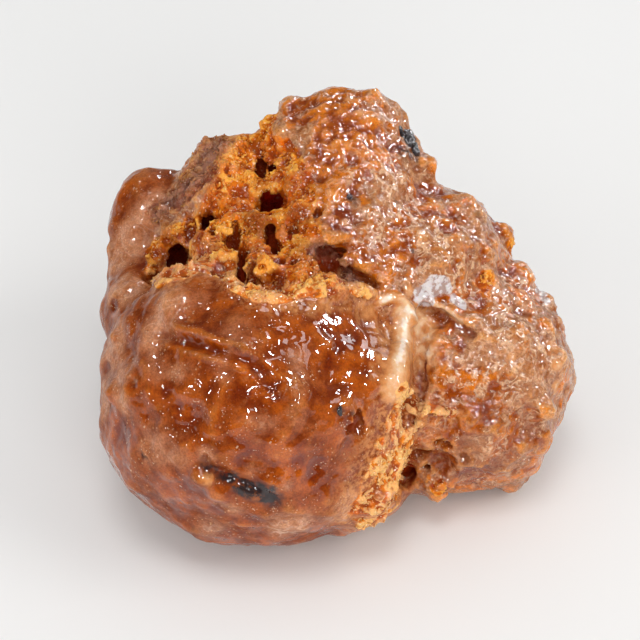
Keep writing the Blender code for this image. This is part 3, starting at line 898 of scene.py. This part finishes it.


# The torn crumb: golden, paler where it stands up and dry, partly a painted highlight on the
# raised grains, dark amber in its pores and where it is closed in or shaded, which is painted shade,
# pale with sugar on the rims, a dull purple brown where it dried out, and pale specks that are
# painted sparkles
torn_start = {"Bulge": 0, "Wet": 0.5, "Dusk": 0, "Pale": 0, "Deep": 0}
torn_look, torn_in, torn_out = new_effect("torn crumb", torn_start, ("Colour",))
patch = ramped(torn_look, grain(torn_look, 1.2, 4, 0.6), 0.38, 0.62)
dry = mix_colour(torn_look, patch, paint(192, 88, 4), paint(220, 126, 22))
soaked = mix_colour(torn_look, patch, paint(154, 56, 0), paint(210, 98, 4))
gold = mix_colour(torn_look, torn_in["Wet"], dry, soaked)
dull = mix_colour(torn_look, patch, paint(98, 60, 46), paint(158, 114, 96))
# Painted shade: darker amber in the dips between the grains.
painted_pore_shade = ramped(torn_look, torn_in["Bulge"], -0.02, -0.12, 0, 0.65)
gold = mix_colour(torn_look, painted_pore_shade, gold, paint(128, 44, 2))
# Paler where the grains stand up and are dry: partly real dryness, partly a painted highlight on the raised
# grains.
dry_tips_and_painted_highlight = ramped(torn_look, torn_in["Wet"], 0.7, 0.2, 0.3, 0.85)
dry_tips_and_painted_highlight = times(torn_look, dry_tips_and_painted_highlight, ramped(torn_look, torn_in["Bulge"], 0.015, 0.09))
gold = mix_colour(torn_look, dry_tips_and_painted_highlight, gold, paint(236, 164, 70))
# Painted shade: dark amber where the crumb is closed in and in shaded places.
gold = mix_colour(torn_look, ramped(torn_look, torn_in["Deep"], 0, 1, 0, 0.75), gold, paint(128, 42, 0))
sugared = ramped(torn_look, torn_in["Bulge"], -0.03, 0.08, 0.05, 0.7)
sugared = times(torn_look, torn_in["Pale"], sugared)
gold = mix_colour(torn_look, sugared, gold, paint(230, 180, 124))
gold = mix_colour(torn_look, times(torn_look, torn_in["Dusk"], 0.85), gold, dull)
gold = scaled(torn_look, gold, ramped(torn_look, grain(torn_look, 0.25, 2, 0.7), 0.3, 0.7, 0.88, 1.15))
# Pale specks of sugar painted as sparkles, fewer where the crumb dried dull.
painted_sugar_sparkle = ramped(torn_look, torn_in["Dusk"], 0, 0.6, 0.5, 0.15)
painted_sugar_sparkle = ramped(torn_look, grain(torn_look, 0.2, 0, 0.5), 0.68, 0.78, 0, painted_sugar_sparkle)
gold = mix_colour(torn_look, painted_sugar_sparkle, gold, paint(252, 226, 184))
torn_look.links.new(gold, torn_out["Colour"])


def crumb_paint(tree):
    """The torn crumb's colour, with painted shade where it is closed in or shaded, and how wet it is,
    from the values kept at the points.
    """
    wet = ramped(tree, grain(tree, 2.6, 2), 0.4, 0.6)
    # Painted shade where the crumb is closed in, and at the places of painted shade.
    painted_crumb_shade = calculate(tree, "MAXIMUM", ramped(tree, kept(tree, "open"), 0.9, 0.35), kept(tree, "painted_shade"))
    places = {"Bulge": kept(tree, "bulge"), "Dusk": kept(tree, "dusk"), "Pale": kept(tree, "pale")}
    return place_effect(tree, torn_look, Wet=wet, Deep=painted_crumb_shade, **places)["Colour"], wet


def curled_lines(tree, size, width):
    """Lines that the drying glaze leaves, in curls of that size in mm."""
    from_line = calculate(tree, "SUBTRACT", grain(tree, size, 0.6, 0.5, 0.7), 0.5)
    return ramped(tree, calculate(tree, "ABSOLUTE", from_line), width, 0)


def by_skin(on_crags, on_smooth):
    """A number that changes from the crags to the smooth skin."""
    return ramped(tree, on_skin, 0, 1, on_crags, on_smooth)


glazed = new_material("glazed dough", {
    "Specular IOR Level": 0.02, "Subsurface Weight": 0.25, "Subsurface Radius": (1.0, 0.5, 0.2),
    "Subsurface Scale": 1.0 * MM, "Coat Roughness": 0.035, "Coat IOR": 1.6,
})
tree = glazed.node_tree
shader = tree.nodes["Principled BSDF"]
on_skin = kept(tree, "skin")
bulge = kept(tree, "bulge")
film = kept(tree, "film")
opened = kept(tree, "open")

# Amber glaze: deep where it is thick, and orange where it is thin
thin = plus(tree, grain(tree, 2.4, 3), times(tree, bulge, 1.6))
thin = ramped(tree, thin, 0.3, 0.72)
skin_amber = mix_colour(tree, thin, paint(108, 34, 0), paint(166, 76, 8))
crag_amber = mix_colour(tree, thin, paint(138, 56, 0), paint(200, 108, 20))
amber = mix_colour(tree, on_skin, crag_amber, skin_amber)

# The milky film over it
milk = ramped(tree, grain(tree, 1.3, 5, 0.62), 0.34, 0.66)
skin_film = mix_colour(tree, milk, paint(104, 38, 4), paint(146, 72, 30))
milky_film_and_floor_reflection = mix_colour(tree, milk, paint(164, 100, 64), paint(192, 134, 100))
height = tree.nodes.new("ShaderNodeSeparateXYZ")
place = tree.nodes.new("ShaderNodeTexCoord")
tree.links.new(place.outputs["Object"], height.inputs[0])
low_down = ramped(tree, height.outputs["Z"], 11 * MM, 3 * MM, 0, 0.7)
# Low down the milky film turns pale pinkish grey: painted reflection of the pale floor.
milky_film_and_floor_reflection = mix_colour(tree, low_down, milky_film_and_floor_reflection, paint(166, 130, 110))
skin_film = mix_colour(tree, ramped(tree, film, 0.0, 0.65), skin_film, milky_film_and_floor_reflection)
crag_film_and_shade = mix_colour(tree, milk, paint(138, 78, 38), paint(180, 128, 90))
# Painted shade: the crags' film is darker towards the bottom.
crag_film_and_shade = mix_colour(tree, low_down, crag_film_and_shade, paint(138, 82, 44))
film_tone = mix_colour(tree, on_skin, crag_film_and_shade, skin_film)
wisps = curled_lines(tree, 1.4, 0.09)
wisp_share = ramped(tree, low_down, 0, 0.4, 0.2, 0.8)
wisps = times(tree, wisps, ramped(tree, film, 0.2, 0.6, 0, wisp_share))
film_tone = mix_colour(tree, wisps, film_tone, paint(226, 190, 166))
film_share = plus(tree, grain(tree, 3.4, 3, 0.5), times(tree, film, 0.5))
finer = times(tree, grain(tree, 0.9, 3, 0.6), by_skin(0.9, 0.45))
film_share = plus(tree, film_share, finer)
film_share = calculate(tree, "SUBTRACT", film_share, by_skin(0.225, -0.1))
film_share = ramped(tree, film_share, by_skin(0.62, 0.6), by_skin(0.8, 1.05))
film_share = times(tree, film_share, by_skin(0.85, 0.92))
colour = mix_colour(tree, film_share, amber, film_tone)

# Curls of dried glaze and thick white glaze, partly painted highlights, and painted shade in the dips
frost_and_glints = curled_lines(tree, 0.75, 0.15)
frost_and_glints = times(tree, frost_and_glints, ramped(tree, grain(tree, 0.9, 2), 0.44, 0.54))
frost_and_glint_share = times(tree, frost_and_glints, ramped(tree, kept(tree, "frost_and_glints"), 0.1, 0.9, 0, 0.8))
colour = mix_colour(tree, frost_and_glint_share, colour, paint(226, 184, 146))
# Painted shade: dark amber in the dips, where the dough is closed in, and at the places of painted shade.
dip = ramped(tree, bulge, -0.05, -0.2, 0, 0.6)
painted_recess_shade = times(tree, calculate(tree, "MAXIMUM", ramped(tree, opened, 0.75, 0.3), dip), 0.8)
painted_shade = times(tree, kept(tree, "painted_shade"), ramped(tree, grain(tree, 1.0, 4, 0.6), 0.35, 0.6, 0.3, 0.9))
colour = mix_colour(tree, calculate(tree, "MAXIMUM", painted_recess_shade, painted_shade), colour, paint(118, 44, 4))
# Painted highlight: paler gold on the raised bumps, more on the crags.
painted_bump_highlight = ramped(tree, bulge, 0.06, 0.22, 0, by_skin(0.35, 0.15))
colour = mix_colour(tree, painted_bump_highlight, colour, paint(228, 156, 76))
dots = tree.nodes.new("ShaderNodeTexVoronoi")
dots.inputs["Scale"].default_value = 1 / (0.34 * MM)
tree.links.new(place.outputs["Object"], dots.inputs["Vector"])
dot_luck = tree.nodes.new("ShaderNodeSeparateColor")
tree.links.new(dots.outputs["Color"], dot_luck.inputs["Color"])
dot_luck = ramped(tree, dot_luck.outputs["Red"], 0.55, 0.8)
dots = times(tree, ramped(tree, dots.outputs["Distance"], 0.38, 0.1), dot_luck)
dots = times(tree, dots, ramped(tree, grain(tree, 1.8, 2), 0.47, 0.62, 0.05, 1))
# Pale dots of sugar, partly painted sparkles.
sugar_and_sparkle_tint = times(tree, dots, ramped(tree, film_share, 0.1, 0.7, 0.1, 0.5))
colour = mix_colour(tree, sugar_and_sparkle_tint, colour, paint(232, 180, 132))
pits = ramped(tree, grain(tree, 0.3, 2, 0.6), 0.42, 0.3, 0, by_skin(0.5, 0.25))
colour = mix_colour(tree, pits, colour, paint(104, 40, 8))
colour = scaled(tree, colour, ramped(tree, grain(tree, 0.2, 2, 0.7), 0.3, 0.7, 0.8, 1.2))
# Painted sparkles: tiny pale specks, more of them on the crags than on the skin.
painted_sparkles = ramped(tree, grain(tree, 0.19, 0, 0.5), 0.68, 0.76, 0, 0.7)
painted_sparkles = times(tree, painted_sparkles, ramped(tree, grain(tree, 1.4, 3, 0.6), 0.52, 0.64, 0, by_skin(1, 0.5)))
colour = mix_colour(tree, painted_sparkles, colour, paint(244, 214, 180))
# Thick white glaze, partly painted highlights: cream, then white where it is thickest.
glaze_and_highlight_share = plus(tree, kept(tree, "glaze"), times(tree, grain(tree, 1.1, 5, 0.7), 2.2))
colour = mix_colour(tree, ramped(tree, glaze_and_highlight_share, 1.2, 2.2, 0, 0.8), colour, paint(206, 140, 84))
colour = mix_colour(tree, ramped(tree, glaze_and_highlight_share, 2.1, 3.0, 0, 0.85), colour, paint(224, 186, 146))
colour = mix_colour(tree, ramped(tree, glaze_and_highlight_share, 2.9, 3.6, 0, 0.9), colour, paint(238, 224, 208))
# Grey white pools of glaze, with a painted grey lavender reflection.
pool_and_reflection_share = plus(tree, kept(tree, "pool_and_reflection"), times(tree, grain(tree, 0.8, 5, 0.7), 1.5))
pool_and_reflection_tone = ramped(tree, grain(tree, 0.7, 3, 0.6), 0.42, 0.54)
pool_and_reflection_tone = mix_colour(tree, pool_and_reflection_tone, paint(164, 138, 130), paint(212, 206, 206))
colour = mix_colour(tree, ramped(tree, pool_and_reflection_share, 1.15, 1.6, 0, 0.92), colour, pool_and_reflection_tone)
rim = times(tree, kept(tree, "pale"), ramped(tree, grain(tree, 0.45, 3, 0.6), 0.4, 0.62, 0.05, 0.8))
colour = mix_colour(tree, rim, colour, paint(214, 146, 88))

# The crumb where the skin tore, painted shade in the deep holes, and the berries' stains
crumb_colour, wet = crumb_paint(tree)
tear_share = plus(tree, kept(tree, "tear"), times(tree, grain(tree, 0.5, 3), 0.6))
tear_share = ramped(tree, tear_share, 0.1, 0.45)
colour = mix_colour(tree, tear_share, colour, crumb_colour)
# Painted shade: dark amber where the dough is closed in or lies under the surface, and saturated red deeper
# in the holes.
painted_cavity_shade = ramped(tree, kept(tree, "depth"), 0.4, 1.4)
painted_cavity_shade = calculate(tree, "MAXIMUM", painted_cavity_shade, ramped(tree, opened, 0.4, 0.1))
colour = mix_colour(tree, painted_cavity_shade, colour, paint(118, 34, 4))
colour = mix_colour(tree, ramped(tree, kept(tree, "depth"), 1.6, 3.2), colour, paint(176, 20, 2))
stain_grain = ramped(tree, grain(tree, 0.8, 5, 0.7), 0.3, 0.66, 0.35, 1.3)
stain_share = times(tree, kept(tree, "stain"), stain_grain)
colour = mix_colour(tree, ramped(tree, stain_share, 0.15, 1.2, 0, 0.97), colour, paint(34, 28, 30))
tree.links.new(colour, shader.inputs["Base Color"])

roughness = ramped(tree, film_share, 0, 1, 0.4, 0.55)
tree.links.new(roughness, shader.inputs["Roughness"])
gloss = ramped(tree, film_share, 0, 1, 1, by_skin(0.8, 0.35))
gloss = times(tree, gloss, ramped(tree, tear_share, 0, 1, 1, ramped(tree, wet, 0, 1, 0.15, 0.7)))
gloss = times(tree, gloss, ramped(tree, painted_cavity_shade, 0, 1, 1, 0.2))
tree.links.new(gloss, shader.inputs["Coat Weight"])

# The glaze lies smooth over the dough, in ripples, and the dough under it is grainy
skin_ripples = times(tree, grain(tree, 1.0, 0, 0.5, 0.3), 0.2)
crag_ripples = times(tree, grain(tree, 0.95, 0, 0.5, 0.8), 0.28)
ripples = mix_number(tree, on_skin, crag_ripples, skin_ripples)
grains = times(tree, times(tree, grain(tree, 0.4, 1, 0.5), 0.16), tear_share)
ripples = plus(tree, ripples, grains)
ripples = plus(tree, ripples, times(tree, dots, 0.05))
ripples = plus(tree, ripples, times(tree, frost_and_glint_share, 0.08))
fine = times(tree, grain(tree, 0.25, 2, 0.6), ramped(tree, film_share, 0, 1, 0.02, 0.06))
add_bump(tree, plus(tree, ripples, fine), "Normal")
add_bump(tree, ripples, "Coat Normal")
dough.data.materials.clear()
dough.data.materials.append(glazed)
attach(dough, "root")
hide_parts("doughnut_hole")

# The crumb of the torn faces and rims: rough grains of baked dough that hang together in ragged
# clusters, some dry and pale and some soaked with glaze
loose_grains = 19000

# Where a grain may lie: on the torn faces, in patches, and not in the holes
corners = np.empty(len(dough.data.loop_triangles) * 3, np.int32)
dough.data.loop_triangles.foreach_get("vertices", corners)
corners = corners.reshape(-1, 3)
face_tear = tear[corners].mean(axis=1)
face_depth = depth[corners].mean(axis=1)
sides = points[corners]
areas = np.linalg.norm(np.cross(sides[:, 1] - sides[:, 0], sides[:, 2] - sides[:, 0]), axis=1) / 2
patches = ramp(waves(sides[:, 0], 1.6 * MM), -0.25, 0.3)
chances = areas * ramp(face_tear, 0, 0.35) * (1 - ramp(face_depth, 0.5, 1.2)) * (0.3 + patches)
chances *= sides[:, 0, 2] > 0.3 * MM
places = picture_of(sides[:, 0])
for column, row, wide, high, _ in holes:
    off_hole = np.hypot((places[:, 0] - column) / wide, (places[:, 1] - row) / high) / pixels_per_mm
    chances *= ramp(off_hole, 0.85, 1.15)
dice = np.random.default_rng(12)
heap = Heap()
for pick in dice.choice(len(corners), loose_grains, p=chances / chances.sum()):
    shares = dice.dirichlet((1, 1, 1))
    place = shares @ sides[pick]
    outward = shares @ normals[corners[pick]]
    size = dice.uniform(0.07, 0.17) * MM
    turn = Euler(dice.uniform(0, math.tau, 3).tolist())
    heap.add(place + outward * size * dice.uniform(-0.5, 0.9), np.array((1, 0.6, 0.45)) * size, turn, 1)
torn_crumb = heap.piece("torn_crumb")
remesh(torn_crumb, 0.08 * MM)
thin_out(torn_crumb, 180000)
drop_scraps(torn_crumb, 16)
torn_crumb.data.shade_smooth()
points = points_of(torn_crumb.data)
nearest_faces = [dough_tree.find_nearest(Vector(p))[2] for p in points.tolist()]
nearest = [dough.data.polygons[face].vertices[0] for face in nearest_faces]
for name, values in (("open", open_share), ("painted_shade", painted_shade_share), ("dusk", dusk), ("pale", pale_share)):
    keep_values(torn_crumb.data, name, values[nearest])
crumb_bulge = bulge_of(torn_crumb.data, points, normals_of(torn_crumb.data), 12)
keep_values(torn_crumb.data, "bulge", crumb_bulge)

crumb = new_material("cake crumb", {
    "Roughness": 0.5, "Specular IOR Level": 0.03, "Subsurface Weight": 0.5,
    "Subsurface Radius": (1.0, 0.55, 0.25), "Subsurface Scale": 0.5 * MM, "Coat Roughness": 0.06,
    "Coat IOR": 1.7,
})
tree = crumb.node_tree
shader = tree.nodes["Principled BSDF"]
crumb_colour, wet = crumb_paint(tree)
tree.links.new(crumb_colour, shader.inputs["Base Color"])
tree.links.new(ramped(tree, wet, 0, 1, 0.05, 0.3), shader.inputs["Coat Weight"])
add_bump(tree, times(tree, grain(tree, 0.3, 1.5, 0.5), 0.16), "Normal", "Coat Normal")
torn_crumb.data.materials.append(crumb)
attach(torn_crumb, "root")

# Bits of blueberry in the dough: torn scraps of near black skin and dark pulp, sunk halfway in
# and glazed over. Each has its place, by column and row or by the direction it faces, its three
# radii in mm and its turn in degrees.
berry_bits = (
    (409, 141, 1.3, 0.65, 0.4, -48), (416, 151, 0.7, 0.4, 0.35, -60), (401, 133, 0.5, 0.3, 0.25, -30),
    (349, 197, 0.4, 0.3, 0.25, 0), (340, 411, 0.5, 0.25, 0.15, -10),
)
berry_around = (
    (150, -5, 1.3, 0.9, 0.2, 20), (200, 2, 1.6, 0.9, 0.2, -40), (222, 14, 0.8, 0.7, 0.18, 0),
    (238, -4, 1.1, 0.6, 0.2, 35), (174, 16, 0.9, 0.7, 0.18, 70),
)
bedded = [(*seen_at(column, row, dough_tree), *form) for column, row, *form in berry_bits]
bedded += [(*met_from(azimuth, elevation, dough_tree), *form) for azimuth, elevation, *form in berry_around]
heap = Heap()
for point, normal, long, wide, thick, turned in bedded:
    flat = normal.to_track_quat("Z", "Y") if normal.z > 0.9 else normal.to_track_quat("Z", "X")
    turn = (flat @ Euler((0, 0, math.radians(turned))).to_quaternion()).to_euler()
    heap.add(point, Vector((long, wide, thick)) * MM, turn, 4, rag=0.8 * wide * MM, rag_size=0.6 * MM)
berries = heap.piece("blueberry_bits")
remesh(berries, 0.09 * MM)
soften(berries, 1)
berries.data.shade_smooth()

berry_finish = {"Specular IOR Level": 0.1, "Coat Weight": 1, "Coat Roughness": 0.06}
blueberry = new_material("blueberry", berry_finish)
tree = blueberry.node_tree
shader = tree.nodes["Principled BSDF"]
pulp = ramped(tree, grain(tree, 0.9, 3, 0.6), 0.38, 0.62)
bloom = ramped(tree, grain(tree, 0.35, 3, 0.7), 0.55, 0.75, 0, 0.3)
clinging_dough = ramped(tree, grain(tree, 0.5, 3, 0.6), 0.42, 0.3, 0, 0.7)
colour = mix_colour(tree, pulp, paint(24, 20, 20), paint(50, 42, 43))
colour = mix_colour(tree, bloom, colour, paint(90, 78, 82))
colour = mix_colour(tree, clinging_dough, colour, paint(92, 44, 22))
tree.links.new(colour, shader.inputs["Base Color"])
tree.links.new(ramped(tree, grain(tree, 0.5, 2), 0.4, 0.6, 0.3, 0.55), shader.inputs["Roughness"])
add_bump(tree, times(tree, grain(tree, 0.5, 1, 0.5, 0.5), 0.2), "Normal", "Coat Normal")
berries.data.materials.append(blueberry)
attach(berries, "root")
